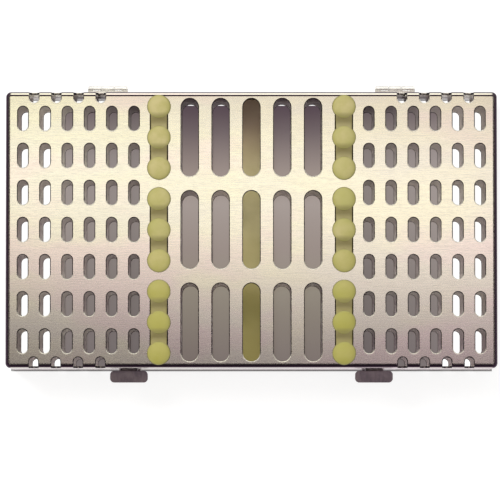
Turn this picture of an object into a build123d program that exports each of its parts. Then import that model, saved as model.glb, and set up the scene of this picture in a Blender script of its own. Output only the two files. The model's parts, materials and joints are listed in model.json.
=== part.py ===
from build123d import *
import os

# A hinged cassette of perforated sheet steel for eight hand instruments, shut and lying flat.
# Left to right is X, the latches are at the front (-Y), the hinges at the rear (+Y), up is +Z.
# Z = 0 is the plane of the silicone studs that the case stands on. All sizes are millimetres.

# Case
case_width = 203.2
case_depth = 114.3
base_height = 17.6  # base pan, underside to rim
lid_height = 13.85  # lid pan, top to rim
rim_gap = 0.3  # between the two rims when shut
sheet = 0.9
fold_radius = 2.0  # outside radius of the folds round each plate
corner_radius = 2.1  # outside radius of the upright corners

# Vents, the small slots at both ends of each plate
vent_width = 4.2
vent_length = 10.0
vent_columns = 6
vent_rows = 7
vent_margin = 7.1  # case side to the middle of the outermost column
vent_inset = 11.1  # case front to the middle of the first row
vent_rail_gap = 10.3  # middle of the innermost column to the rail's middle
side_vent_count = 5

# Drain notches, half slots cut over the front and rear folds between the outer vent columns
notch_width = 3.8
notch_reach = 4.5  # into the plate
notch_drop = 4.85  # down the wall
notch_count = 4

# Long slots in the middle of each plate
slot_width = 7.0
slot_gap = 6.05  # web between two slots of a column
slot_pitch_x = 12.75
slot_columns = 7
slot_rows = 3
slot_inset = 2.8  # case front to the first slot
rail_column = 3  # columns from the middle to a rail

# Silicone rails and strip
studs_per_slot = 3
stud_radius = 4.95
stud_height = 1.3
stud_rounding = 0.85
stem_radius = 3.3
rail_width = 9.4
rail_end = 0.5  # wall's inside to the end of a rail
rail_fit = 0.15  # bridge between studs to the slot's edge
bridge_recess = 0.35  # the bridges between studs lie this far below the plate's outer face
base_rail_height = 15.3
lid_rail_height = 12.6
notch_radius = 3.75  # instrument notch
base_notch_depth = 6.2
lid_notch_depth = 2.9
post_rounding = 1.0
strip_width = 9.0
strip_height = 4.2

# Hinges
hinge_x = 59.8
leaf_width = 15.7
leaf_sheet = 0.8
leaf_height = 8.2  # hinge axis to the leaf's far edge
pin_radius = 1.0
pin_clearance = 0.05
knuckle_gap = 0.2
leaf_relief = 0.25  # leaf edge to the other leaf's knuckles
pin_head_radius = 1.45
pin_head_height = 0.4
pin_head_rounding = 0.2

# Rivets
rivet_radius = 0.8
rivet_clearance = 0.02
rivet_head_radius = 1.45
rivet_head_height = 0.55
rivet_head_rounding = 0.44
rivet_tail_height = 0.4
rivet_spread = 9.0  # between a leaf's two rivets
rivet_inset = 2.2  # leaf's far edge to its rivets

# Latches
latch_x = 50.7
latch_sheet = 0.8
latch_width = 6.8
latch_wall_gap = 0.15
latch_axis_height = 8.0  # above the base's underside
latch_top_height = 25.2  # above the base's underside
latch_bend = 1.4  # outside radius of the bend into the finger tab
tab_width = 15.6
tab_depth = 4.9
tab_setback = 0.95  # wall to the finger tab's shoulders
tab_rounding = 1.7
nose_width = 5.0
nose_height = 2.2
nose_lip = 0.73  # upright part of the nose's tip
nose_reach = 0.5  # past the inside of the lid's wall
nose_lift = 0.3  # over the lower edge of the lid's window
nose_above_rim = 3.6  # lid's rim to the window's lower edge
window_side = 0.5  # window edge to the nose, each side
window_above = 1.1  # window edge to the nose's top
bracket_sheet = 0.9
bracket_side = 0.15  # latch to each ear
bracket_plate_gap = 0.25  # bracket plate to the latch's knuckle
bracket_foot = 0.3  # above the fold
ear_radius = 2.3
bracket_rivet_spread = 4.0
bracket_rivet_head_radius = 1.25

# Places worked out from the sizes above
base_plate_z = stud_height
base_rim_z = base_plate_z + base_height
lid_rim_z = base_rim_z + rim_gap
lid_plate_z = lid_rim_z + lid_height
wall_y = case_depth / 2
wall_x = case_width / 2
knuckle_radius = pin_radius + pin_clearance + leaf_sheet
hinge_y = wall_y + knuckle_radius
hinge_z = base_rim_z + rim_gap / 2
latch_knuckle_radius = pin_radius + pin_clearance + latch_sheet
latch_y = -wall_y - latch_wall_gap - latch_knuckle_radius
latch_z = base_plate_z + latch_axis_height
slot_pitch_y = (case_depth - 2 * slot_inset + slot_gap) / slot_rows
slot_length = slot_pitch_y - slot_gap
stud_pitch = slot_pitch_y / studs_per_slot
stud_count = studs_per_slot * slot_rows
rail_x = rail_column * slot_pitch_x
vent_pitch_x = (wall_x - vent_margin - rail_x - vent_rail_gap) / (vent_columns - 1)
vent_pitch_y = (case_depth - 2 * vent_inset) / (vent_rows - 1)
rail_length = case_depth - 2 * (sheet + rail_end)
seat_rounding = fold_radius - sheet
leaf_rivet_z = leaf_height - rivet_inset
window_low_z = lid_rim_z + nose_above_rim
nose_low_z = window_low_z + nose_lift
bracket_low_z = base_plate_z + fold_radius + bracket_foot
bracket_top_z = latch_z - latch_knuckle_radius - bracket_plate_gap
bracket_rivet_z = (bracket_low_z + bracket_top_z) / 2
sides = {"left": -1, "right": 1}

os.makedirs("parts", exist_ok=True)


def save(part, name):
    """Labels one finished piece and writes it."""
    part.label = name
    export_step(part, f"parts/{name}.step")


def plate_plane(plate_z, inward, x=0):
    """The outer face of a pan's plate; its normal points into the case."""
    return Plane(origin=(x, 0, plate_z), x_dir=(1, 0, 0), z_dir=(0, 0, inward))


def rounded_block(plane, width, depth, height, upright_radius, folded_radius):
    """A block with round upright corners and a round edge about its first face."""
    with BuildPart() as block:
        with BuildSketch(plane):
            RectangleRounded(width, depth, upright_radius)
        extrude(amount=height)
        first_face = block.faces().sort_by(Axis(plane.origin, plane.z_dir))[0]
        fillet(first_face.edges(), radius=folded_radius)
    return block.part


def plate_cutters(plate_z, inward):
    """Cutters for the vents, long slots and drain notches of a pan."""
    outer = plate_plane(plate_z, inward)
    block_x = wall_x - vent_margin - vent_pitch_x * (vent_columns - 1) / 2
    first_notch_x = wall_x - vent_margin - vent_pitch_x / 2
    notch_xs = [s * (first_notch_x - i * vent_pitch_x) for i in range(notch_count) for s in (-1, 1)]
    with BuildPart() as cutters:
        with BuildSketch(outer):
            with Locations((-block_x, 0), (block_x, 0)):
                with GridLocations(vent_pitch_x, vent_pitch_y, vent_columns, vent_rows):
                    SlotOverall(vent_length, vent_width, rotation=90)
            with GridLocations(slot_pitch_x, slot_pitch_y, slot_columns, slot_rows):
                SlotOverall(slot_length, slot_width, rotation=90)
        extrude(amount=sheet)
        for end in (-1, 1):
            with BuildSketch(outer):
                with Locations(*[(x, end * wall_y) for x in notch_xs]):
                    SlotOverall(2 * notch_reach, notch_width, rotation=90)
            extrude(amount=fold_radius)
            fold_y = end * (wall_y - fold_radius)
            with BuildSketch(Plane(origin=(0, fold_y, plate_z), x_dir=(1, 0, 0), z_dir=(0, end, 0))):
                with Locations(*[(x, 0) for x in notch_xs]):
                    SlotOverall(2 * notch_drop, notch_width, rotation=90)
            extrude(amount=fold_radius)
    return cutters.part


def side_vent_cutters(vent_z):
    """Cutters for the row of vents in each side wall."""
    with BuildPart() as cutters:
        for side in (-1, 1):
            inside_x = side * (wall_x - sheet)
            with BuildSketch(Plane(origin=(inside_x, 0, vent_z), x_dir=(0, 1, 0), z_dir=(side, 0, 0))):
                with GridLocations(vent_pitch_y, 0, side_vent_count, 1):
                    SlotOverall(vent_length, vent_width)
            extrude(amount=sheet)
    return cutters.part


def wall_hole_cutters(end, places):
    """Cutters for rivet holes through the front (-1) or rear (1) wall at (x, z) places."""
    inside = Plane(origin=(0, end * (wall_y - sheet), 0), x_dir=(-end, 0, 0), z_dir=(0, end, 0))
    with BuildPart() as cutters:
        with BuildSketch(inside):
            with Locations(*[(-end * x, z) for x, z in places]):
                Circle(rivet_radius + rivet_clearance)
        extrude(amount=sheet)
    return cutters.part


def window_cutters():
    """Cutters for the window in the lid's front wall that each latch's nose snaps into."""
    with BuildPart() as cutters:
        with BuildSketch(Plane(origin=(0, -wall_y, window_low_z), x_dir=(1, 0, 0), z_dir=(0, -1, 0))):
            with Locations((-latch_x, 0), (latch_x, 0)):
                Rectangle(
                    nose_width + 2 * window_side,
                    nose_lift + nose_height + window_above,
                    align=(Align.CENTER, Align.MIN),
                )
        extrude(amount=-sheet)
    return cutters.part


def folded_pan(plate_z, inward, height, wall_cutters):
    """A folded tray whose plate's outer face is at plate_z, with everything cut in one go."""
    outer = plate_plane(plate_z, inward)
    shell = rounded_block(outer, case_width, case_depth, height, corner_radius, fold_radius)
    hollow = rounded_block(
        outer.offset(sheet),
        case_width - 2 * sheet,
        case_depth - 2 * sheet,
        height,
        corner_radius - sheet,
        fold_radius - sheet,
    )
    vents = side_vent_cutters(plate_z + inward * (height + fold_radius) / 2)
    with BuildPart() as pan:
        add(shell)
        add([hollow, plate_cutters(plate_z, inward), vents, *wall_cutters], mode=Mode.SUBTRACT)
    return pan.part


def slot_studs(x, plate_z, inward):
    """What holds silicone in a column of long slots: nine studs outside, joined by bridges."""
    outer = plate_plane(plate_z, inward, x)
    with BuildPart() as studs:
        with BuildSketch(outer):
            with GridLocations(0, stud_pitch, 1, stud_count):
                Circle(stud_radius)
        extrude(amount=-stud_height)
        crowns = studs.faces().group_by(Axis(outer.origin, outer.z_dir))[0]
        fillet(crowns.edges(), radius=stud_rounding)
        with BuildSketch(outer):
            with GridLocations(0, stud_pitch, 1, stud_count):
                Circle(stem_radius)
        extrude(amount=sheet)
        with BuildSketch(outer.offset(bridge_recess)):
            with GridLocations(0, slot_pitch_y, 1, slot_rows):
                SlotOverall(slot_length - 2 * rail_fit, slot_width - 2 * rail_fit, rotation=90)
        extrude(amount=sheet - bridge_recess)
    return studs.part


def silicone_rail(x, plate_z, inward, height, notch_depth):
    """A bar along a column of long slots, with a round notch for an instrument between studs."""
    side_view = Plane(origin=(x, 0, plate_z), x_dir=(0, 1, 0), z_dir=(inward, 0, 0))
    notch_middle = sheet + height - notch_depth + notch_radius
    with BuildPart() as rail:
        with BuildSketch(side_view) as profile:
            with Locations((0, sheet)):
                Rectangle(rail_length, height, align=(Align.CENTER, Align.MIN))
            with Locations((0, notch_middle)):
                with GridLocations(stud_pitch, 0, stud_count - 1, 1):
                    Circle(notch_radius, mode=Mode.SUBTRACT)
                    Rectangle(
                        2 * notch_radius,
                        notch_depth,
                        align=(Align.CENTER, Align.MIN),
                        mode=Mode.SUBTRACT,
                    )
            fillet(profile.vertices().group_by(Axis.Y)[-1], radius=post_rounding)
            fillet(profile.vertices().group_by(Axis.Y)[0], radius=seat_rounding)
        extrude(amount=rail_width / 2, both=True)
        add(slot_studs(x, plate_z, inward))
    return rail.part


def hinge_leaf(x, up, knuckle_spans):
    """A leaf on the rear wall with its rolled knuckles; up is 1 on the lid and -1 on the base."""
    axis_view = Plane(origin=(x, hinge_y, hinge_z), x_dir=(0, 1, 0), z_dir=(1, 0, 0))
    relief = knuckle_radius + leaf_relief
    with BuildPart() as leaf:
        with BuildSketch(axis_view):
            with Locations((-knuckle_radius + leaf_sheet / 2, up * (relief + leaf_height) / 2)):
                Rectangle(leaf_sheet, leaf_height - relief)
        extrude(amount=leaf_width / 2, both=True)
        for start, end in knuckle_spans:
            with BuildSketch(axis_view.offset(start)):
                Circle(knuckle_radius)
                with Locations((-knuckle_radius + leaf_sheet / 2, up * relief / 2)):
                    Rectangle(leaf_sheet, relief)
                Circle(pin_radius + pin_clearance, mode=Mode.SUBTRACT)
            extrude(amount=end - start)
        with BuildSketch(Plane(origin=(x, wall_y, hinge_z), x_dir=(-1, 0, 0), z_dir=(0, 1, 0))):
            with Locations((0, up * leaf_rivet_z)):
                with GridLocations(rivet_spread, 0, 2, 1):
                    Circle(rivet_radius + rivet_clearance)
        extrude(amount=leaf_sheet, mode=Mode.SUBTRACT)
    return leaf.part


def headed_pin(x, y, z, grip):
    """A pin along X that fills a grip of the given length between two peened heads."""
    with BuildPart() as pin:
        with BuildSketch(Plane(origin=(x - grip / 2, y, z), x_dir=(0, 1, 0), z_dir=(1, 0, 0))):
            Circle(pin_radius)
        extrude(amount=grip)
        for end in (-1, 1):
            with BuildSketch(Plane(origin=(x + end * grip / 2, y, z), x_dir=(0, 1, 0), z_dir=(end, 0, 0))):
                Circle(pin_head_radius)
            extrude(amount=pin_head_height)
        tips = pin.faces().filter_by(Axis.X).sort_by(Axis.X)
        fillet(tips[0].edges() + tips[-1].edges(), radius=pin_head_rounding)
    return pin.part


def wall_rivets(end, places, grip_sheet, head_radius):
    """Rivets through a wall and the sheet on its outside, a domed head outside, a flat tail inside."""
    seat_y = end * (wall_y + grip_sheet)
    inside_y = end * (wall_y - sheet)
    outward = Plane(origin=(0, seat_y, 0), x_dir=(-end, 0, 0), z_dir=(0, end, 0))
    inward = Plane(origin=(0, inside_y, 0), x_dir=(end, 0, 0), z_dir=(0, -end, 0))
    with BuildPart() as rivets:
        with BuildSketch(outward):
            with Locations(*[(-end * x, z) for x, z in places]):
                Circle(head_radius)
        extrude(amount=rivet_head_height)
        crowns = rivets.faces().group_by(Axis(outward.origin, outward.z_dir))[-1]
        fillet(crowns.edges(), radius=rivet_head_rounding)
        with BuildSketch(outward):
            with Locations(*[(-end * x, z) for x, z in places]):
                Circle(rivet_radius)
        extrude(amount=-(grip_sheet + sheet))
        with BuildSketch(inward):
            with Locations(*[(end * x, z) for x, z in places]):
                Circle(head_radius)
        extrude(amount=rivet_tail_height)
    return rivets.part


def swing_latch(x):
    """A strip rolled round the latch pin, with a nose for the lid's window and a T-shaped tab."""
    side_view = Plane(origin=(x, 0, 0), x_dir=(0, 1, 0), z_dir=(1, 0, 0))
    face_y = -wall_y - latch_wall_gap
    top_z = base_plate_z + latch_top_height
    tab_back_y = -wall_y - tab_setback
    tab_front_y = tab_back_y - tab_depth
    nose_tip_y = -wall_y + sheet + nose_reach
    bend_inside = latch_bend - latch_sheet
    with BuildPart() as latch:
        with BuildSketch(side_view):
            with BuildLine():
                FilletPolyline(
                    (face_y - latch_sheet / 2, latch_z),
                    (face_y - latch_sheet / 2, top_z - latch_sheet / 2),
                    (tab_front_y + tab_rounding, top_z - latch_sheet / 2),
                    radius=bend_inside + latch_sheet / 2,
                )
                offset(amount=latch_sheet / 2, kind=Kind.INTERSECTION)
            make_face()
            with Locations((latch_y, latch_z)):
                Circle(latch_knuckle_radius)
                Circle(pin_radius + pin_clearance, mode=Mode.SUBTRACT)
        extrude(amount=latch_width / 2, both=True)
        with BuildSketch(side_view):
            with BuildLine():
                Polyline(
                    (face_y, nose_low_z),
                    (nose_tip_y, nose_low_z),
                    (nose_tip_y, nose_low_z + nose_lip),
                    (face_y, nose_low_z + nose_height),
                    close=True,
                )
            make_face()
        extrude(amount=nose_width / 2, both=True)
        with BuildSketch(Plane.XY.offset(top_z)):
            with Locations((x, (tab_back_y + tab_front_y) / 2)):
                RectangleRounded(tab_width, tab_depth, tab_rounding)
        extrude(amount=-latch_sheet)
    return latch.part


def latch_bracket(x):
    """A plate on the front wall with two ears that hold the latch pin."""
    gap = latch_width + 2 * bracket_side
    with BuildPart() as bracket:
        with BuildSketch(Plane(origin=(x, -wall_y, 0), x_dir=(1, 0, 0), z_dir=(0, -1, 0))):
            with Locations((0, bracket_rivet_z)):
                Rectangle(gap + 2 * bracket_sheet, bracket_top_z - bracket_low_z)
                with GridLocations(bracket_rivet_spread, 0, 2, 1):
                    Circle(rivet_radius + rivet_clearance, mode=Mode.SUBTRACT)
        extrude(amount=bracket_sheet)
        ear_depth = -wall_y - latch_y
        for side in (-1, 1):
            inner_face = Plane(origin=(x + side * gap / 2, latch_y, 0), x_dir=(0, 1, 0), z_dir=(1, 0, 0))
            with BuildSketch(inner_face):
                with Locations((0, latch_z)):
                    Circle(ear_radius)
                    Rectangle(
                        ear_radius,
                        2 * ear_radius,
                        align=(Align.MIN, Align.CENTER),
                        mode=Mode.SUBTRACT,
                    )
                with Locations((0, bracket_low_z)):
                    Rectangle(
                        ear_depth,
                        latch_z + ear_radius - bracket_low_z,
                        align=(Align.MIN, Align.MIN),
                    )
                with Locations((0, latch_z)):
                    Circle(pin_radius + rivet_clearance, mode=Mode.SUBTRACT)
            extrude(amount=side * bracket_sheet)
    return bracket.part


# Base pan, with the holes of the hinge and bracket rivets
hinge_rivet_xs = [s * hinge_x + r * rivet_spread / 2 for s in (-1, 1) for r in (-1, 1)]
base_rivet_places = [(x, hinge_z - leaf_rivet_z) for x in hinge_rivet_xs]
lid_rivet_places = [(x, hinge_z + leaf_rivet_z) for x in hinge_rivet_xs]
bracket_rivet_xs = [s * latch_x + r * bracket_rivet_spread / 2 for s in (-1, 1) for r in (-1, 1)]
bracket_rivet_places = [(x, bracket_rivet_z) for x in bracket_rivet_xs]
base_wall_cutters = [wall_hole_cutters(1, base_rivet_places), wall_hole_cutters(-1, bracket_rivet_places)]
save(folded_pan(base_plate_z, 1, base_height, base_wall_cutters), "base_pan")

# Lid pan, with the holes of its hinge rivets and a window for each latch's nose
lid_wall_cutters = [wall_hole_cutters(1, lid_rivet_places), window_cutters()]
save(folded_pan(lid_plate_z, -1, lid_height, lid_wall_cutters), "lid_pan")

# Silicone rails of the base and of the lid
for side_name, side in sides.items():
    base_rail = silicone_rail(side * rail_x, base_plate_z, 1, base_rail_height, base_notch_depth)
    save(base_rail, f"base_rail_{side_name}")
    lid_rail = silicone_rail(side * rail_x, lid_plate_z, -1, lid_rail_height, lid_notch_depth)
    save(lid_rail, f"lid_rail_{side_name}")

# Low silicone strip along the middle of the base
with BuildPart() as middle_strip:
    with BuildSketch(Plane.XZ.offset(-rail_length / 2)) as strip_profile:
        with Locations((0, base_plate_z + sheet)):
            Rectangle(strip_width, strip_height, align=(Align.CENTER, Align.MIN))
        fillet(strip_profile.vertices().group_by(Axis.Y)[-1], radius=post_rounding)
    extrude(amount=rail_length)
    seat = middle_strip.faces().sort_by(Axis.Z)[0]
    fillet(seat.edges().filter_by(Axis.X), radius=seat_rounding)
    add(slot_studs(0, base_plate_z, 1))
save(middle_strip.part, "middle_strip")

# Hinges: the base has the middle knuckle, the lid the two outer ones
knuckle_length = (leaf_width - 2 * knuckle_gap) / 3
base_knuckles = [(-knuckle_length / 2, knuckle_length / 2)]
lid_knuckles = [
    (-leaf_width / 2, -leaf_width / 2 + knuckle_length),
    (leaf_width / 2 - knuckle_length, leaf_width / 2),
]
for side_name, side in sides.items():
    save(hinge_leaf(side * hinge_x, -1, base_knuckles), f"hinge_base_leaf_{side_name}")
    save(hinge_leaf(side * hinge_x, 1, lid_knuckles), f"hinge_lid_leaf_{side_name}")
    hinge_pin = headed_pin(side * hinge_x, hinge_y, hinge_z, leaf_width + 2 * pin_clearance)
    save(hinge_pin, f"hinge_pin_{side_name}")
save(wall_rivets(1, base_rivet_places, leaf_sheet, rivet_head_radius), "base_hinge_rivets")
save(wall_rivets(1, lid_rivet_places, leaf_sheet, rivet_head_radius), "lid_hinge_rivets")

# Latches with their brackets and pins
ear_grip = latch_width + 2 * (bracket_side + bracket_sheet)
for side_name, side in sides.items():
    save(swing_latch(side * latch_x), f"latch_{side_name}")
    save(latch_bracket(side * latch_x), f"latch_bracket_{side_name}")
    latch_pin = headed_pin(side * latch_x, latch_y, latch_z, ear_grip + 2 * rivet_clearance)
    save(latch_pin, f"latch_pin_{side_name}")
bracket_rivets = wall_rivets(-1, bracket_rivet_places, bracket_sheet, bracket_rivet_head_radius)
save(bracket_rivets, "latch_bracket_rivets")
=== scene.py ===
import json
import math

import bmesh
import bpy
import numpy as np
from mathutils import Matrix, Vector

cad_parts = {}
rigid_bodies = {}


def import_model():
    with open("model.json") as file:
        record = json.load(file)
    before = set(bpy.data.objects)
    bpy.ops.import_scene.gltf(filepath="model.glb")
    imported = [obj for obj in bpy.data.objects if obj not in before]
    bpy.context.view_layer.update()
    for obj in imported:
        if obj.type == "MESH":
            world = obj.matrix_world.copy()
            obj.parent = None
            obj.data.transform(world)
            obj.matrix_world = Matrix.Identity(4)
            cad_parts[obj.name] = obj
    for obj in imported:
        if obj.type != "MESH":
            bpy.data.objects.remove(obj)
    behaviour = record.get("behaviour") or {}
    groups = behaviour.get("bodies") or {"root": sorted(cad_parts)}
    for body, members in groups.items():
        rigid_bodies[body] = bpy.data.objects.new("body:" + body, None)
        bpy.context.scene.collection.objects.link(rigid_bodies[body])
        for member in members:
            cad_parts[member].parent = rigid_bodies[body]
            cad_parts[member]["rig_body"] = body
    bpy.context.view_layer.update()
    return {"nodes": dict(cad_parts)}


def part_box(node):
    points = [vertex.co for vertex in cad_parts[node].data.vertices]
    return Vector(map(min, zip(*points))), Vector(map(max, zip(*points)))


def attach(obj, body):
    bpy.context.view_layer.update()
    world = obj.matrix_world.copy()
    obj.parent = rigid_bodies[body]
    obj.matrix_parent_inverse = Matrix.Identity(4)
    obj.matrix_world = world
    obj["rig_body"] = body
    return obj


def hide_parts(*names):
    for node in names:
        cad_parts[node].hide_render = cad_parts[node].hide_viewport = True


# Looks of a hinged cassette of perforated sheet steel with silicone rails, shut and lying flat.
# Metres throughout: X left to right, latches at -Y, hinges at +Y, the floor at Z = 0.

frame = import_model()
nodes = frame["nodes"]
print("frame loaded with", len(nodes), "nodes")

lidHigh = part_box("lid_pan")[1]
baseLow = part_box("base_pan")[0]
case = {
    "lidTop": lidHigh.z,
    "baseBottom": baseLow.z,
    "sheet": 0.0009,
    "slotPitch": 0.03825,  # from one row of long slots to the next
    "slotRows": 3,
    "studPitch": 0.01275,
    "studsPerSlot": 3,
    "railX": 0.03825,  # middle of a silicone rail
}
meshing = {
    "weld": 1e-7,  # points of a new piece that lie closer than this become one
    "copyWeld": 1e-6,
    "flat": 0.002,  # radians; flatter edges of a copied piece are dissolved
    "sharp": 35,  # degrees; sharper edges are eased
    "evenness": 50,
}


def gridQuads(rows, columns):
    # quads between neighbours of a rows x columns grid whose last column joins its first
    r, c = (a.ravel() for a in np.meshgrid(np.arange(rows - 1), np.arange(columns), indexing="ij"))
    cNext = (c + 1) % columns
    corners = [r * columns + c, (r + 1) * columns + c, (r + 1) * columns + cNext, r * columns + cNext]
    return np.stack(corners, axis=-1)


def addMesh(name, points, faces, body, material):
    # points and faces become a mesh whose poles and seams are merged and whose faces point outwards
    mesh = bpy.data.meshes.new(name)
    mesh.from_pydata(points.tolist(), [], faces)
    work = bmesh.new()
    work.from_mesh(mesh)
    bmesh.ops.remove_doubles(work, verts=work.verts, dist=meshing["weld"])
    bmesh.ops.recalc_face_normals(work, faces=work.faces)
    work.to_mesh(mesh)
    work.free()
    mesh.shade_smooth()
    piece = bpy.data.objects.new(name, mesh)
    bpy.context.scene.collection.objects.link(piece)
    mesh.materials.append(material)
    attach(piece, body)
    return piece


def place(x, y, depth, plateZ, inward):
    # depth runs from a plate's outer face into the case
    return np.stack([x, y, plateZ + inward * depth], axis=-1)


def gatherGrids(grids):
    # several grids of one shape, as one list of points and one list of quads
    count, rows, columns, _ = grids.shape
    quads = gridQuads(rows, columns)
    shifts = np.arange(count)[:, None, None] * rows * columns
    return grids.reshape(-1, 3), (quads[None] + shifts).reshape(-1, 4).tolist()


def easeEdges(piece, width, segments):
    # a live bevel on the sharp edges only
    bevel = piece.modifiers.new("easedEdges", "BEVEL")
    bevel.width = width
    bevel.segments = segments
    bevel.limit_method = "ANGLE"
    bevel.angle_limit = math.radians(meshing["sharp"])
    bevel.use_clamp_overlap = False
    bevel.loop_slide = False
    evened = piece.modifiers.new("evenedNormals", "WEIGHTED_NORMAL")
    evened.weight = meshing["evenness"]
    evened.keep_sharp = False


class Shader:
    # A node material with a Principled shader. add() makes a node and wires its inputs, which are
    # named by their labels, or by an i and their number.
    noiseRoughness = 0.55

    def __init__(self, name):
        self.material = bpy.data.materials.new(name)
        self.material.use_nodes = True
        self.tree = self.material.node_tree
        self.surface = self.tree.nodes["Principled BSDF"]
        self.place = self.tree.nodes.new("ShaderNodeTexCoord").outputs["Object"]

    def add(self, kind, settings=None, **inputs):
        node = self.tree.nodes.new(kind)
        for key, value in (settings or {}).items():
            setattr(node, key, value)
        for key, value in inputs.items():
            self.wire(node.inputs[int(key[1:]) if key[0] == "i" and key[1:].isdigit() else key], value)
        return node

    def wire(self, socket, value):
        if isinstance(value, bpy.types.NodeSocket):
            self.tree.links.new(value, socket)
        else:
            socket.default_value = value

    def noise(self, stretch, detail=3.0, offset=(0, 0, 0)):
        # noise whose cells are stretched differently along each axis; stretch is in cells per metre
        mapped = self.add("ShaderNodeMapping", Vector=self.place, Scale=stretch, Location=offset)
        made = self.add(
            "ShaderNodeTexNoise",
            Vector=mapped.outputs["Vector"], Scale=1.0, Detail=detail, Roughness=self.noiseRoughness,
        )
        return made.outputs["Fac"]

    def remap(self, value, low, high, toLow, toHigh):
        settings = {"clamp": True}
        made = self.add("ShaderNodeMapRange", settings, i0=value, i1=low, i2=high, i3=toLow, i4=toHigh)
        return made.outputs["Result"]

    def band(self, value, low, high):
        # 0 at low, 1 at high
        return self.remap(value, low, high, 0.0, 1.0)

    def blend(self, factor, first, second, mode="MIX"):
        settings = {"data_type": "RGBA", "blend_type": mode}
        made = self.add("ShaderNodeMix", settings, i0=factor, i6=first, i7=second)
        return made.outputs[2]

    def math(self, operation, first, second=0.0):
        made = self.add("ShaderNodeMath", {"operation": operation}, i0=first, i1=second)
        return made.outputs["Value"]

    def set(self, **inputs):
        for key, value in inputs.items():
            self.wire(self.surface.inputs[key.replace("_", " ")], value)

    def bump(self, height, strength, distance):
        made = self.add("ShaderNodeBump", Height=height, Strength=strength, Distance=distance)
        self.set(Normal=made.outputs["Normal"])


def rgb(red, green, blue):
    return (red, green, blue, 1.0)


lidSteel = {
    "colour": rgb(0.80, 0.76, 0.67),
    "warm": rgb(0.84, 0.80, 0.65),
    "rosy": rgb(0.83, 0.71, 0.68),
    "streak": rgb(0.70, 0.65, 0.58),
    "streakShare": 0.32,
    "bend": rgb(0.050, 0.028, 0.048),  # painted dark reflection along the folds
    "cut": rgb(0.018, 0.011, 0.014),  # painted shade on the rough punched faces inside the holes
    "lit": rgb(1.0, 0.97, 0.88),  # painted highlight on the edge at the front of each hole
    "wall": rgb(0.77, 0.75, 0.85),  # painted shade: the share of its tone that the front wall keeps
    "roughness": (0.31, 0.23),
    "outward": 1.0,  # the outer face of the lid's plate looks up
}
# inside the case the base's tones are rosier than the lid's, a painted tint of shade
baseSteel = dict(
    lidSteel,
    colour=rgb(0.88, 0.82, 0.83), warm=rgb(0.92, 0.87, 0.84), rosy=rgb(0.86, 0.78, 0.82),
    streak=rgb(0.74, 0.69, 0.70), roughness=(0.48, 0.34), outward=-1.0,
    stain=rgb(0.36, 0.31, 0.37),  # painted shade inside, along the middle of its rear edge
    stainShare=0.75, stainX=(0.090, 0.066), stainY=(0.040, 0.052),
    outdoors=lidSteel,  # its outer faces are as bright as the lid
)
brushing = {
    "along": 80,  # coarse streaks per metre along the brushing
    "across": 3000,  # and across it
    "fineAlong": 4,  # the fine streaks are this many times closer
    "fineAcross": 2.2,
    "coarseShare": 0.4,
    "fineShare": 0.6,
    "sideways": 0.75,  # faces turned further than this are brushed along Y
    "clouds": (16, 44, 44),
    "cloudRange": (0.42, 0.60),
    "blush": (12, 30, 30),
    "blushRange": (0.48, 0.60),
    "blushShare": 0.9,
    "streakRange": (0.50, 0.38),
    "roughRange": (0.35, 0.65),
    "bump": 0.014,
    "bumpDistance": 0.0002,
}
faces = {
    "away": 0.03,  # a face looks out of the case if its normal, times its place, is over this
    "wall": (-0.6, -0.4),  # turns at which a wall begins; a plate's outer face is at 1
    "plate": 0.2,
    "rearWall": -0.5,
}
folds = {
    "innerX": 0.0992,  # the end folds take a painted dark reflection between these
    "outerX": 0.1000,
    "plateY": 0.0551,  # and the front and rear folds begin here
    "steep": (0.02, 0.2),  # the rest are turns of the outer face: 1 is level and 0 upright
    "endDark": (0.985, 0.88),
    "rearLine": (0.9995, 0.995),
    "rearLineEnd": (0.90, 0.94),
    "rearEdge": (0.74, 0.62),
    "frontDark": (0.985, 0.955),
    "frontDarkEnd": (0.45, 0.60),
    "wall": (0.55, 0.45),
    "wallEnd": -0.05,
}
holes = {
    "reachX": 0.0990,  # holes through the plates lie inside these
    "reachY": 0.0545,
    "sideways": 0.55,
    "cut": (0.985, 0.93),  # turns at which an eased edge becomes a cut face, painted dark
    "cutRoughness": 0.3,
    "lit": (0.06, 0.18),  # how far a lit edge looks to the rear
    "litUpright": (0.05, 0.20),
}


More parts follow.
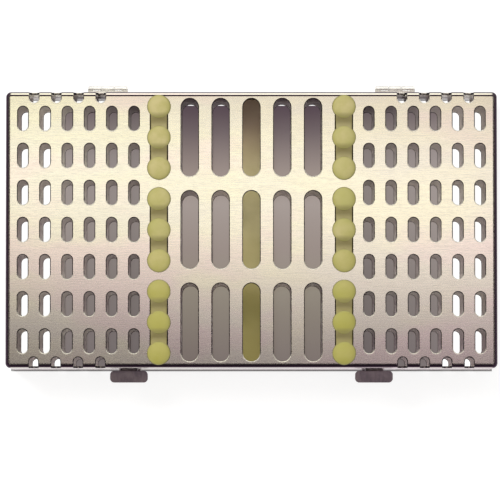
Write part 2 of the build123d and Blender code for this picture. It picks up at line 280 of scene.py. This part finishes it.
def brushedSteel(name, look):
    # fine streaks along X, or along Y on faces that look sideways; broad warm and rosy clouds;
    # painted dark reflections on the outer round of the folds, painted shade on the front wall and on the cut
    # faces in the holes, and a painted highlight at the front of each hole
    s = Shader(name)
    along, across = brushing["along"], brushing["across"]
    fineAlong, fineAcross = along * brushing["fineAlong"], across * brushing["fineAcross"]
    coarse = s.noise((along, across, across))
    fine = s.noise((fineAlong, fineAcross, fineAcross), detail=2.0, offset=(3, 7, 5))
    ends = s.noise((across, along, across))
    normal = s.add("ShaderNodeNewGeometry").outputs["Normal"]
    facing = s.add("ShaderNodeSeparateXYZ", Vector=normal).outputs
    parts = s.add("ShaderNodeSeparateXYZ", Vector=s.place).outputs
    absX, absY = s.math("ABSOLUTE", parts["X"]), s.math("ABSOLUTE", parts["Y"])
    sideFacing = s.math("ABSOLUTE", facing["X"])
    coarsePart = s.math("MULTIPLY", coarse, brushing["coarseShare"])
    mixed = s.math("ADD", coarsePart, s.math("MULTIPLY", fine, brushing["fineShare"]))
    streaks = s.blend(s.math("GREATER_THAN", sideFacing, brushing["sideways"]), mixed, ends)
    clouds = s.noise(brushing["clouds"], detail=4.0, offset=(1, 2, 3))
    blush = s.noise(brushing["blush"], detail=4.0, offset=(8, 4, 6))
    outer = s.math("MULTIPLY", facing["Z"], look["outward"])
    tones = {key: look[key] for key in ("colour", "warm", "rosy", "streak")}
    # the outer faces of the base take the lid's tones, the inner ones keep their rosier painted shade tint
    if "outdoors" in look:
        away = s.add("ShaderNodeVectorMath", {"operation": "DOT_PRODUCT"}, i0=normal, i1=s.place)
        looksAway = s.math("GREATER_THAN", away.outputs["Value"], faces["away"])
        outWall = s.math("MULTIPLY", looksAway, s.band(outer, *faces["wall"]))
        outside = s.math("MAXIMUM", s.math("GREATER_THAN", outer, faces["plate"]), outWall)
        tones = {key: s.blend(outside, tone, look["outdoors"][key]) for key, tone in tones.items()}
    tone = s.blend(s.band(clouds, *brushing["cloudRange"]), tones["colour"], tones["warm"])
    rosiness = s.remap(blush, *brushing["blushRange"], 0.0, brushing["blushShare"])
    tone = s.blend(rosiness, tone, tones["rosy"])
    streakiness = s.remap(streaks, *brushing["streakRange"], 0.0, look["streakShare"])
    tone = s.blend(streakiness, tone, tones["streak"])
    # painted shade inside the base, along the middle of its rear edge
    if "stain" in look:
        insidePlate = s.math("LESS_THAN", outer, -faces["plate"])
        insideRear = s.math("LESS_THAN", facing["Y"], faces["rearWall"])
        stained = s.math("MULTIPLY", s.band(absX, *look["stainX"]), s.band(parts["Y"], *look["stainY"]))
        stained = s.math("MULTIPLY", stained, look["stainShare"])
        stained = s.math("MULTIPLY", stained, s.math("MAXIMUM", insidePlate, insideRear))
        tone = s.blend(stained, tone, look["stain"])

    # painted dark reflections along the folds and painted shade on the front wall, by how far the outer face
    # has turned from level
    steep = s.band(outer, *folds["steep"])
    atEnd = s.band(absX, folds["innerX"], folds["outerX"])
    endDark = s.math("MULTIPLY", s.band(outer, *folds["endDark"]), steep)
    tone = s.blend(s.math("MULTIPLY", endDark, atEnd), tone, look["bend"])
    atRear = s.math("GREATER_THAN", parts["Y"], folds["plateY"])
    rearLine = s.math("MULTIPLY", s.band(outer, *folds["rearLine"]), s.band(outer, *folds["rearLineEnd"]))
    rearEdge = s.math("MULTIPLY", s.band(outer, *folds["rearEdge"]), steep)
    tone = s.blend(s.math("MULTIPLY", s.math("MAXIMUM", rearLine, rearEdge), atRear), tone, look["bend"])
    atFront = s.math("LESS_THAN", parts["Y"], -folds["plateY"])
    frontDark = s.band(outer, *folds["frontDark"])
    frontDark = s.math("MULTIPLY", frontDark, s.band(outer, *folds["frontDarkEnd"]))
    tone = s.blend(s.math("MULTIPLY", frontDark, atFront), tone, look["bend"])
    # painted shade on the front wall
    notInside = s.math("GREATER_THAN", outer, folds["wallEnd"])
    frontWall = s.math("MULTIPLY", s.band(outer, *folds["wall"]), notInside)
    tone = s.blend(s.math("MULTIPLY", frontWall, atFront), tone, look["wall"], "MULTIPLY")

    # painted shade on the cut faces in the holes and a painted highlight at the front of each, by how far
    # their eased edges have turned from level
    upright = s.math("ABSOLUTE", facing["Z"])
    withinX = s.math("LESS_THAN", absX, holes["reachX"])
    inside = s.math("MULTIPLY", withinX, s.math("LESS_THAN", absY, holes["reachY"]))
    besideX = s.math("MULTIPLY", withinX, s.math("GREATER_THAN", sideFacing, holes["sideways"]))
    inHoles = s.math("MAXIMUM", inside, besideX)
    cut = s.math("MULTIPLY", inHoles, s.band(upright, *holes["cut"]))
    tone = s.blend(cut, tone, look["cut"])
    lit = s.math("MULTIPLY", s.band(facing["Y"], *holes["lit"]), s.band(upright, *holes["litUpright"]))
    tone = s.blend(s.math("MULTIPLY", lit, inside), tone, look["lit"])
    rough = s.remap(streaks, *brushing["roughRange"], *look["roughness"])
    rough = s.math("ADD", rough, s.math("MULTIPLY", cut, holes["cutRoughness"]))
    s.set(Base_Color=tone, Roughness=rough, Metallic=1.0)
    s.bump(streaks, brushing["bump"], brushing["bumpDistance"])
    return s.material


hinge = {"colour": rgb(0.84, 0.82, 0.79), "dull": rgb(0.66, 0.64, 0.62), "roughness": (0.18, 0.34)}
pins = {"colour": rgb(0.88, 0.87, 0.85), "dull": rgb(0.70, 0.69, 0.68), "roughness": (0.12, 0.26)}
# the latches and their brackets: steel darkened, a painted dark reflection of the surroundings
latch = {"colour": rgb(0.35, 0.29, 0.31), "dull": rgb(0.23, 0.19, 0.22), "roughness": (0.28, 0.45)}


satin = {
    "grain": (300, 2600, 2600),
    "grainRange": (0.35, 0.65),
    "patches": (180, 180, 180),
    "patchShare": 0.7,
    "scuffs": (900, 260, 900),
    "scuffShare": 0.3,
    "dullRange": (0.40, 0.62),
    "bump": 0.06,
    "bumpDistance": 0.0001,
}


def satinSteel(name, look):
    # satin metal: a light grain along X, cloudy dull patches and small scuffs
    s = Shader(name)
    grain = s.noise(satin["grain"])
    patches = s.noise(satin["patches"], detail=4.0, offset=(2, 5, 1))
    scuffs = s.noise(satin["scuffs"], detail=2.0, offset=(5, 1, 9))
    patchPart = s.math("MULTIPLY", patches, satin["patchShare"])
    dull = s.math("ADD", patchPart, s.math("MULTIPLY", scuffs, satin["scuffShare"]))
    tone = s.blend(s.band(dull, *satin["dullRange"]), look["colour"], look["dull"])
    rough = s.remap(grain, *satin["grainRange"], *look["roughness"])
    s.set(Base_Color=tone, Roughness=rough, Metallic=1.0)
    s.bump(grain, satin["bump"], satin["bumpDistance"])
    return s.material


rubber = {
    "colour": rgb(0.45, 0.40, 0.13),
    "pale": rgb(0.55, 0.47, 0.21),
    "deep": rgb(0.41, 0.39, 0.10),
    "front": rgb(0.40, 0.37, 0.058),  # yellower and more saturated towards the front
    "slopeShade": rgb(0.36, 0.335, 0.085),  # painted shade where the crowns turn down
    # painted shade on steep rims
    "rimShade": rgb(0.13, 0.105, 0.04),
    "shade": rgb(0.26, 0.22, 0.078),  # where a crown sinks into the bar in front of it
    "roughness": (0.34, 0.50),
}
# the bars between the studs: the studs' silicone made darker, a painted shade in the recesses between the
# crowns
bridgeRubber = dict(
    rubber, colour=rgb(0.37, 0.32, 0.13), pale=rgb(0.40, 0.34, 0.15), deep=rgb(0.33, 0.29, 0.10),
    front=rgb(0.31, 0.26, 0.060), slopeShade=rgb(0.30, 0.25, 0.09), shade=rgb(0.235, 0.197, 0.070),
)
strip = {
    "colour": rgb(0.86, 0.74, 0.36),
    "pale": rgb(0.94, 0.82, 0.44),
    "deep": rgb(0.70, 0.60, 0.25),
    "front": rgb(0.43, 0.36, 0.055),
    # painted shade where the strip turns down and on its steep rims
    "slopeShade": rgb(0.70, 0.60, 0.28),
    "rimShade": rgb(0.40, 0.33, 0.20),
    "rear": rgb(0.50, 0.35, 0.235),  # painted brown shade towards the hinges
    "rearY": (0.022, 0.046),
    "roughness": (0.45, 0.62),
}


silicone = {
    "mottle": (160, 160, 160),
    "paleRange": (0.38, 0.64),
    "paleShare": 0.8,
    "broad": (45, 45, 45),
    "deepRange": (0.46, 0.64),
    "deepShare": 0.7,
    "frontY": (0.000, -0.030),
    "frontShare": 0.75,
    "shadeShift": 0.0022,  # puts the darkest part just off a crown's front edge
    "shadeRange": (0.0, -0.95),
    "shadeX": (0.0040, 0.0030),  # from the rail's middle
    "slopeTurn": (0.992, 0.84),
    "slopeShare": 0.8,
    "rimShadeTurn": (0.84, 0.55),
    "rimShadeShare": 0.9,
    "roughRange": (0.35, 0.65),
    "gloss": 0.8,
    "fine": (1800, 1800, 1800),
    "fineShare": 0.4,
    "bump": 0.25,
    "bumpDistance": 0.0002,
}


def siliconeRubber(name, look):
    # soft mottling, a yellower colour at the front and a painted brown shade at the rear, painted shade where
    # the surface turns down and on steep rims, a painted shade in front of each stud that has a bar there,
    # and a fine orange-peel bump
    s = Shader(name)
    mottle = s.noise(silicone["mottle"], detail=4.0)
    broad = s.noise(silicone["broad"], detail=2.0, offset=(4, 4, 1))
    fine = s.noise(silicone["fine"], detail=2.0, offset=(1, 6, 2))
    normal = s.add("ShaderNodeNewGeometry").outputs["Normal"]
    upright = s.math("ABSOLUTE", s.add("ShaderNodeSeparateXYZ", Vector=normal).outputs["Z"])
    parts = s.add("ShaderNodeSeparateXYZ", Vector=s.place).outputs
    y = parts["Y"]
    paleness = s.remap(mottle, *silicone["paleRange"], 0.0, silicone["paleShare"])
    tone = s.blend(paleness, look["colour"], look["pale"])
    tone = s.blend(s.remap(broad, *silicone["deepRange"], 0.0, silicone["deepShare"]), tone, look["deep"])
    tone = s.blend(s.remap(y, *silicone["frontY"], 0.0, silicone["frontShare"]), tone, look["front"])
    # painted brown shade towards the hinges
    if "rear" in look:
        tone = s.blend(s.band(y, *look["rearY"]), tone, look["rear"])
    if "shade" in look:
        shifted = s.math("ADD", y, silicone["shadeShift"])
        swing = s.math("SINE", s.math("MULTIPLY", shifted, 2 * math.pi / case["studPitch"]))
        fromSlot = s.math("PINGPONG", y, case["slotPitch"] / 2)
        fromRail = s.math("SUBTRACT", s.math("ABSOLUTE", parts["X"]), case["railX"])
        nearRail = s.band(s.math("ABSOLUTE", fromRail), *silicone["shadeX"])
        between = s.math("MULTIPLY", s.math("LESS_THAN", fromSlot, case["studPitch"]), nearRail)
        shaded = s.math("MULTIPLY", s.band(swing, *silicone["shadeRange"]), between)
        tone = s.blend(shaded, tone, look["shade"])
    # painted shade where the surface turns down and on steep rims
    tone = s.blend(s.remap(upright, *silicone["slopeTurn"], 0.0, silicone["slopeShare"]), tone, look["slopeShade"])
    tone = s.blend(s.remap(upright, *silicone["rimShadeTurn"], 0.0, silicone["rimShadeShare"]), tone, look["rimShade"])
    rough = s.remap(mottle, *silicone["roughRange"], *look["roughness"])
    s.set(Base_Color=tone, Roughness=rough, Specular_IOR_Level=silicone["gloss"])
    grainy = s.math("ADD", s.math("MULTIPLY", fine, silicone["fineShare"]), mottle)
    s.bump(grainy, silicone["bump"], silicone["bumpDistance"])
    return s.material


lidFinish = brushedSteel("brushedLid", lidSteel)
baseFinish = brushedSteel("brushedBase", baseSteel)
hingeFinish = satinSteel("hingeSatin", hinge)
pinFinish = satinSteel("pinSatin", pins)
latchFinish = satinSteel("latchSatin", latch)
rubberFinish = siliconeRubber("studRubber", rubber)
shadedBridgeFinish = siliconeRubber("bridgeRubber", bridgeRubber)
stripFinish = siliconeRubber("stripRubber", strip)
print("materials made")


# finish, width of the round on sharp edges and its segments
metalPieces = {
    "lid_pan": (lidFinish, 0.00042, 4),
    "base_pan": (baseFinish, 0.00017, 3),
    "hinge_base_leaf_left": (hingeFinish, 0.00012, 2),
    "hinge_base_leaf_right": (hingeFinish, 0.00012, 2),
    "hinge_lid_leaf_left": (hingeFinish, 0.00012, 2),
    "hinge_lid_leaf_right": (hingeFinish, 0.00012, 2),
    "latch_left": (latchFinish, 0.00016, 2),
    "latch_right": (latchFinish, 0.00016, 2),
    "latch_bracket_left": (latchFinish, 0.00014, 2),
    "latch_bracket_right": (latchFinish, 0.00014, 2),
}


def easedCopy(nodeName, material, width, segments):
    # a merged copy of a CAD mesh, flat faces joined, whose sharp edges get a small round
    node = nodes[nodeName]
    mesh = bpy.data.meshes.new(nodeName + "_eased")
    work = bmesh.new()
    work.from_mesh(node.data)
    bmesh.ops.remove_doubles(work, verts=work.verts, dist=meshing["copyWeld"])
    bmesh.ops.dissolve_limit(work, angle_limit=meshing["flat"], verts=work.verts, edges=work.edges)
    work.to_mesh(mesh)
    work.free()
    mesh.shade_smooth()
    mesh.materials.append(material)
    piece = bpy.data.objects.new(nodeName + "_eased", mesh)
    bpy.context.scene.collection.objects.link(piece)
    easeEdges(piece, width, segments)
    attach(piece, node["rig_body"])
    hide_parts(nodeName)


slotOf = {name: node.data.materials[0].name for name, node in nodes.items()}
for nodeName, (material, width, segments) in metalPieces.items():
    easedCopy(nodeName, material, width, segments)

for nodeName, node in nodes.items():
    if slotOf[nodeName] == "pin_steel":
        node.data.materials[0] = pinFinish
print("metal pieces dressed")


rail = {
    "width": 0.0094,
    "length": 0.1115,
    "seatRound": 0.0011,  # at both ends of the seat, clear of the pan's folds
    "corner": 0.0005,  # round along the long edges
    "cornerSegments": 3,
    "lidHeight": 0.0126,
    "baseHeight": 0.0153,
    "stripWidth": 0.0090,
    "stripHeight": 0.0042,
    "stripLength": 0.1123,  # it ends close to the base's walls
    "stripRound": 0.0004,
    "notchRadius": 0.00375,
    "lidNotch": 0.0029,  # depth of a notch
    "baseNotch": 0.0062,
    "postRound": 0.0010,
    "endSteps": 7,
    "notchSteps": 19,
    "postSteps": 6,
    "lidSeed": 11,
    "baseSeed": 21,
    "stripSeed": 31,
}
stud = {
    "radius": 0.00495,
    "height": 0.0013,
    "squareness": 2.1,  # 2 would be a plain ellipse, more is flatter on top
    "seatShare": 0.6,  # a ring inside the flat seat
    "seatDepth": 0.00002,
    "wobble": 0.00006,
    "secondWave": 0.6,
    "lean": 0.00008,
    "around": 56,
    "rows": 16,
}
bridge = {
    "width": 0.0069,
    "bottom": 0.0012,  # depth of its underside below the plate's face
    "depthAtStud": -0.00090,
    "depthBetween": 0.00020,
    "fullness": 3,  # more keeps the bar high for longer before it sinks between two studs
    "squareness": 3.4,
    "around": 28,
    "steps": 90,
}


def studCentres():
    count = case["slotRows"] * case["studsPerSlot"]
    return (np.arange(count) - (count - 1) / 2) * case["studPitch"]


def studSurfaces(railX, plateZ, inward, seed):
    # Each stud is a turned surface. Its profile is a quarter of a superellipse,
    # (r/R)^n + (z/H)^n = 1, closed by a flat seat; a slow wave round the rim and a slight
    # lean make each one a little different.
    random = np.random.default_rng(seed)
    centres = studCentres()
    power = 2 / stud["squareness"]
    t = np.linspace(0, math.pi / 2, stud["rows"])
    radius = np.concatenate([[0, stud["seatShare"]], np.cos(t).clip(0, 1) ** power]) * stud["radius"]
    rise = np.concatenate([[0, 0], np.sin(t) ** power]) * stud["height"]
    rise[:2] = -stud["seatDepth"]
    radius[-1] = 0
    turn = np.arange(stud["around"]) * 2 * math.pi / stud["around"]
    phase = random.uniform(0, 2 * math.pi, (len(centres), 2))
    lean = random.uniform(-1, 1, (len(centres), 2)) * stud["lean"]
    wave = np.cos(2 * turn + phase[:, :1]) + stud["secondWave"] * np.cos(3 * turn + phase[:, 1:])
    wave = (wave + 1 + stud["secondWave"]) / 2
    waveShare = (radius / stud["radius"])[None, :, None]
    r = radius[None, :, None] - stud["wobble"] * wave[:, None, :] * waveShare
    x = r * np.cos(turn)
    y = r * np.sin(turn)
    tilt = (x * lean[:, 0, None, None] + y * lean[:, 1, None, None]) / stud["radius"]
    share = (rise / stud["height"]).clip(0, 1)[None, :, None]
    height = rise[None, :, None] * (1 - stud["lean"] / stud["height"]) + tilt * share
    return place(railX + x, centres[:, None, None] + y, -height, plateZ, inward)


def bridgeSurfaces(railX, plateZ, inward):
    # In each slot a soft bar joins the studs: a superellipse section carried along Y. Its top
    # sinks by ((1 - cos(2 pi y / pitch)) / 2)^fullness: high inside the studs, low between them.
    reach = case["studPitch"] * (case["studsPerSlot"] - 1) / 2
    rows = (np.arange(case["slotRows"]) - (case["slotRows"] - 1) / 2) * case["slotPitch"]
    y = np.linspace(-reach, reach, bridge["steps"])
    turn = np.arange(bridge["around"]) * 2 * math.pi / bridge["around"]
    swing = ((1 - np.cos(2 * math.pi * y / case["studPitch"])) / 2) ** bridge["fullness"]
    top = bridge["depthAtStud"] + (bridge["depthBetween"] - bridge["depthAtStud"]) * swing
    middle, half = (bridge["bottom"] + top) / 2, (bridge["bottom"] - top) / 2
    power = 2 / bridge["squareness"]
    acrossShape = np.sign(np.cos(turn)) * np.abs(np.cos(turn)) ** power
    depthShape = np.sign(np.sin(turn)) * np.abs(np.sin(turn)) ** power
    taper = np.ones_like(y)
    taper[[0, -1]] = 0
    x = bridge["width"] / 2 * acrossShape[None] * taper[:, None]
    d = middle[:, None] + depthShape[None] * (half * taper)[:, None]
    x, d = (np.broadcast_to(a, (len(rows), *a.shape)) for a in (x, d))
    yy = np.broadcast_to(rows[:, None, None] + y[None, :, None], x.shape)
    return place(railX + x, yy, d, plateZ, inward)


def railOutline(height, notch):
    # Outline of a rail seen from the side: depth over Y. Between two posts lies a round notch: an
    # arc about a centre, then a quarter round up to the next post. One period is repeated by adding
    # the pitch.
    half = rail["length" if notch else "stripLength"] / 2
    top = case["sheet"]
    if notch == 0:
        arc = np.linspace(0, math.pi / 2, rail["endSteps"])
        y = half - rail["stripRound"] * (1 - np.sin(arc))
        d = top + height - rail["stripRound"] * (1 - np.cos(arc))
        free = np.stack([np.concatenate([-y[::-1], y]), np.concatenate([d[::-1], d])])
    else:
        middle = height - notch + rail["notchRadius"]
        widest = math.acos(max(0.0, (middle - height + rail["postRound"]) / rail["notchRadius"]))
        swing = np.linspace(-widest, widest, rail["notchSteps"])
        arcY = rail["notchRadius"] * np.sin(swing)
        arcD = middle - rail["notchRadius"] * np.cos(swing)
        corner = np.linspace(0, math.pi / 2, rail["postSteps"])
        edge = arcY[-1] + rail["postRound"]
        cornerY = edge - rail["postRound"] * np.cos(corner)
        cornerD = height - rail["postRound"] * (1 - np.sin(corner))
        y = np.concatenate([-cornerY[::-1], arcY, cornerY])
        d = np.concatenate([cornerD[::-1], arcD, cornerD]) + top
        count = case["slotRows"] * case["studsPerSlot"] - 1
        starts = (np.arange(count) - (count - 1) / 2) * case["studPitch"]
        endY = half - rail["postRound"] * (1 - np.sin(corner))
        endD = top + height - rail["postRound"] * (1 - np.cos(corner))
        free = np.stack([
            np.concatenate([-endY[::-1], (starts[:, None] + y).ravel(), endY]),
            np.concatenate([endD[::-1], np.tile(d, count), endD]),
        ])
    corner = np.linspace(0, math.pi / 2, rail["postSteps"])
    seatY = half - rail["seatRound"] * (1 - np.cos(corner))
    seatD = top + rail["seatRound"] * (1 - np.sin(corner))
    seat = np.stack([np.concatenate([seatY, -seatY[::-1]]), np.concatenate([seatD, seatD[::-1]])])
    return np.concatenate([free, seat], axis=1)


def siliconeRail(name, railX, plateZ, inward, width, height, notch, seed, body, material, between):
    # the side outline carried from one side to the other, its ends closed by one face each
    outline = railOutline(height, notch)
    xs = railX + np.array([-width / 2, width / 2])
    x = np.repeat(xs[:, None], outline.shape[1], axis=1)
    y = np.broadcast_to(outline[0], x.shape)
    d = np.broadcast_to(outline[1], x.shape)
    barPoints = place(x, y, d, plateZ, inward).reshape(-1, 3)
    count = outline.shape[1]
    barFaces = gridQuads(2, count).tolist()
    barFaces += [list(range(count)), list(range(2 * count - 1, count - 1, -1))]
    bar = addMesh(name + "_bar", barPoints, barFaces, body, material)
    easeEdges(bar, rail["corner"], rail["cornerSegments"])
    studPoints, studFaces = gatherGrids(studSurfaces(railX, plateZ, inward, seed))
    studs = addMesh(name + "_studs", studPoints, studFaces, body, material)
    bridgePoints, bridgeFaces = gatherGrids(bridgeSurfaces(railX, plateZ, inward))
    addMesh(name + "_bridges", bridgePoints, bridgeFaces, body, between)
    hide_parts(name)


for number, (side, sign) in enumerate((("left", -1), ("right", 1))):
    siliconeRail(
        f"lid_rail_{side}", sign * case["railX"], case["lidTop"], -1, rail["width"], rail["lidHeight"],
        rail["lidNotch"], rail["lidSeed"] + number, "lid", rubberFinish, shadedBridgeFinish,
    )
    siliconeRail(
        f"base_rail_{side}", sign * case["railX"], case["baseBottom"], 1, rail["width"], rail["baseHeight"],
        rail["baseNotch"], rail["baseSeed"] + number, "base", rubberFinish, shadedBridgeFinish,
    )
siliconeRail(
    "middle_strip", 0.0, case["baseBottom"], 1, rail["stripWidth"], rail["stripHeight"],
    0, rail["stripSeed"], "base", stripFinish, stripFinish,
)
print("silicone rails made")


studio = {
    "floorHalf": 3.0,
    "floorColour": rgb(0.42, 0.42, 0.42),
    # painted shade: the floor's own colour under the shaded middle of the case
    "underColour": rgb(0.08, 0.08, 0.08),
    "floorRoughness": 0.9,
    "floorLift": rgb(0.74, 0.74, 0.74),
    "ventWhite": rgb(0.95, 0.95, 0.95),  # painted light on the floor seen through the end vents
    "contactShade": rgb(0.04, 0.035, 0.04),
    "endTint": (rgb(0.85, 0.85, 0.85), rgb(1.18, 1.18, 1.18)),
    "caseX": 0.1005,  # the floor under the case is lit apart from the rest
    "caseY": 0.0560,
    "endX": 0.0440,  # brighter under the vents beyond this
    "contactX": 0.1010,  # the line of shade along the front and rear edges
    "contactY": 0.0578,
    "edgeY": 0.0549,  # and where that shade begins under the middle
    "shadeX": 0.0790,  # the shaded middle of it
    "shadeY": 0.0541,
    "panelHeight": 0.30,  # above the lid
    "panelX": 0.17,
    "panelFront": -0.075,
    "panelRear": 0.125,
    "panelSlant": 0.065,  # the panel's bright part reaches further forward on the right
    "flagColour": rgb(0.045, 0.035, 0.042),
    "rearFlagEnd": 0.25,
    "glowColour": rgb(1.0, 0.99, 0.93),
    "glowStrength": 1.6,
    "glowEnd": 1.20,
    "glowFoot": 0.002,
    "frontFlagEnd": -0.60,
    "sideFlagEnd": 0.60,
    "sideFlagY": 0.14,
    "worldLight": rgb(0.66, 0.65, 0.63),
    "keyPlace": Vector((-0.45, 0.40, 0.85)),
    "keySize": 0.45,
    "keyPower": 5.5,
}


def flatSheet(name, x0, x1, y0, y1, zFront, zRear, material, glossyOnly):
    # a rectangle, level or sloping in Y; glossyOnly makes it a card that only reflections see
    mesh = bpy.data.meshes.new(name)
    corners = [(x0, y0, zFront), (x1, y0, zFront), (x1, y1, zRear), (x0, y1, zRear)]
    mesh.from_pydata(corners, [], [(0, 1, 2, 3)])
    sheet = bpy.data.objects.new(name, mesh)
    bpy.context.scene.collection.objects.link(sheet)
    mesh.materials.append(material)
    if glossyOnly:
        sheet.visible_camera = False
        sheet.visible_diffuse = False
        sheet.visible_shadow = False
        sheet.visible_transmission = False


def ramp(s, value, stops):
    made = s.add("ShaderNodeValToRGB", Fac=value)
    elements = made.color_ramp.elements
    for position, colour in stops[1:-1]:
        elements.new(position)
    for element, (position, colour) in zip(elements, stops):
        element.position = position
        element.color = colour
    return made.outputs["Color"]


# painted shade on the floor under the case, from its front to its rear
middleStops = [
    (0.0, rgb(0.17, 0.135, 0.125)),
    (0.30, rgb(0.265, 0.23, 0.185)),
    (0.45, rgb(0.30, 0.245, 0.22)),
    (0.62, rgb(0.36, 0.305, 0.28)),
    (0.74, rgb(0.31, 0.25, 0.225)),
    (0.90, rgb(0.15, 0.115, 0.12)),
    (1.0, rgb(0.080, 0.052, 0.068)),
]
endStops = [
    (0.0, rgb(0.155, 0.130, 0.130)),
    (0.30, rgb(0.20, 0.170, 0.160)),
    (0.60, rgb(0.28, 0.240, 0.225)),
    (0.78, rgb(0.28, 0.240, 0.23)),
    (0.92, rgb(0.205, 0.170, 0.165)),
    (1.0, rgb(0.12, 0.090, 0.10)),
]


def floorMaterial():
    # matt white that keeps shadows, lifted to white for the camera and for reflections;
    # under the end vents it has painted light, and under the middle of the case a painted rosy shade
    s = Shader("paleFloor")
    s.set(Roughness=studio["floorRoughness"], Specular_IOR_Level=0.0)
    rays = s.add("ShaderNodeLightPath").outputs
    seen = s.math("MAXIMUM", rays["Is Glossy Ray"], rays["Is Transmission Ray"])
    seen = s.math("MAXIMUM", rays["Is Camera Ray"], seen)
    parts = s.add("ShaderNodeSeparateXYZ", Vector=s.place).outputs
    absX, absY = s.math("ABSOLUTE", parts["X"]), s.math("ABSOLUTE", parts["Y"])

    def within(x, y):
        return s.math("MULTIPLY", s.math("LESS_THAN", absX, x), s.math("LESS_THAN", absY, y))

    under = within(studio["caseX"], studio["caseY"])
    contact = within(studio["contactX"], studio["contactY"])
    shade = s.math("LESS_THAN", parts["Y"], studio["shadeY"])
    inShade = s.math("MULTIPLY", within(studio["shadeX"], studio["caseY"]), shade)
    along = s.band(parts["Y"], -studio["caseY"], studio["shadeY"])
    endShare = s.band(absX, studio["endX"], studio["shadeX"])
    endTint = s.blend(endShare, *studio["endTint"])
    endDusk = s.blend(1.0, ramp(s, along, endStops), endTint, "MULTIPLY")
    atEnd = s.math("GREATER_THAN", absX, studio["endX"])
    dusk = s.blend(atEnd, ramp(s, along, middleStops), endDusk)
    away = s.blend(contact, studio["floorLift"], studio["contactShade"])
    white = s.blend(under, away, studio["ventWhite"])
    pastEdge = s.math("GREATER_THAN", absY, studio["edgeY"])
    atEdge = s.math("MULTIPLY", pastEdge, within(studio["endX"], studio["caseY"]))
    white = s.blend(atEdge, white, studio["contactShade"])
    s.set(Base_Color=s.blend(inShade, studio["floorColour"], studio["underColour"]))
    lifted = s.blend(s.math("SUBTRACT", inShade, atEdge), white, dusk)
    s.set(Emission_Color=lifted, Emission_Strength=seen)
    return s.material


# the panel from front to rear, and its tint from left to right
panelStops = [
    (0.0, rgb(0.06, 0.045, 0.06)),
    (0.14, rgb(0.18, 0.155, 0.18)),
    (0.27, rgb(0.55, 0.49, 0.57)),
    (0.35, rgb(0.84, 0.74, 0.80)),
    (0.42, rgb(1.64, 1.56, 1.33)),
    (0.60, rgb(1.64, 1.70, 1.56)),
    (0.69, rgb(1.46, 1.46, 1.32)),
    (0.77, rgb(1.04, 0.94, 0.85)),
    (1.0, rgb(0.72, 0.64, 0.56)),
]
tintStops = [
    (0.0, rgb(1.16, 1.16, 1.08)),
    (0.30, rgb(1.0, 1.0, 0.97)),
    (1.0, rgb(1.0, 0.95, 1.0)),
]


def glowing(s, colour, strength):
    # light of its own and nothing else
    s.set(Base_Color=rgb(0, 0, 0), Specular_IOR_Level=0.0)
    s.set(Emission_Color=colour, Emission_Strength=strength)
    return s.material


def panelMaterial():
    # the soft panel is cream over the rear of the case and falls to a dim mauve over the front
    s = Shader("softPanel")
    parts = s.add("ShaderNodeSeparateXYZ", Vector=s.place).outputs
    slanted = s.math("ADD", parts["Y"], s.math("MULTIPLY", parts["X"], studio["panelSlant"]))
    colour = ramp(s, s.band(slanted, studio["panelFront"], studio["panelRear"]), panelStops)
    tint = ramp(s, s.band(parts["X"], -studio["panelX"], studio["panelX"]), tintStops)
    return glowing(s, s.blend(1.0, colour, tint, "MULTIPLY"), 1.0)


def flagMaterial(name):
    return glowing(Shader(name), studio["flagColour"], 1.0)


half = studio["floorHalf"]
top = case["lidTop"] + studio["panelHeight"]
panelX, panelFront, panelRear = studio["panelX"], studio["panelFront"], studio["panelRear"]
flagRear, flagFront = studio["rearFlagEnd"], studio["frontFlagEnd"]
flagX, flagY = studio["sideFlagEnd"], studio["sideFlagY"]
glow = glowing(Shader("glow"), studio["glowColour"], studio["glowStrength"])
flatSheet("floor", -half, half, -half, half, 0.0, 0.0, floorMaterial(), False)
flatSheet("softPanel", -panelX, panelX, panelFront, panelRear, top, top, panelMaterial(), True)
flatSheet("rearFlag", -panelX, panelX, panelRear, flagRear, top, top, flagMaterial("rearShade"), True)
flatSheet("rearGlow", -panelX, panelX, flagRear, studio["glowEnd"], top, studio["glowFoot"], glow, True)
flatSheet("frontFlag", -panelX, panelX, flagFront, panelFront, top, top, flagMaterial("frontShade"), True)
flatSheet("leftFlag", -flagX, -panelX, -flagY, flagY, top, top, flagMaterial("leftFlagShade"), True)
flatSheet("rightFlag", panelX, flagX, -flagY, flagY, top, top, flagMaterial("rightFlagShade"), True)

world = bpy.data.worlds.new("studioWorld")
bpy.context.scene.world = world
world.use_nodes = True
sky = world.node_tree.nodes["Background"]
sky.inputs["Color"].default_value = studio["worldLight"]
sky.inputs["Strength"].default_value = 1.0

keyData = bpy.data.lights.new("softKey", "AREA")
keyData.size = studio["keySize"]
keyData.energy = studio["keyPower"]
key = bpy.data.objects.new("softKey", keyData)
bpy.context.scene.collection.objects.link(key)
key.location = studio["keyPlace"]
key.rotation_euler = (-studio["keyPlace"]).to_track_quat("-Z", "Y").to_euler()
key.visible_glossy = False

view = {
    "x": -0.0006,
    "fromY": -0.0943,
    "fromZ": 1.78,
    "atY": -0.0084,  # on the lid
    "lens": 305.0,
    "sensor": 36.0,
    "near": 0.05,
    "far": 20.0,
}
cameraData = bpy.data.cameras.new("photoCamera")
cameraData.lens = view["lens"]
cameraData.sensor_width = view["sensor"]
cameraData.clip_start = view["near"]
cameraData.clip_end = view["far"]
camera = bpy.data.objects.new("photoCamera", cameraData)
bpy.context.scene.collection.objects.link(camera)
camera.location = (view["x"], view["fromY"], view["fromZ"])
camera.rotation_euler = (math.atan2(view["atY"] - view["fromY"], view["fromZ"] - case["lidTop"]), 0, 0)
bpy.context.scene.camera = camera
bpy.context.scene.view_settings.view_transform = "Standard"
print("floor, light and camera set")
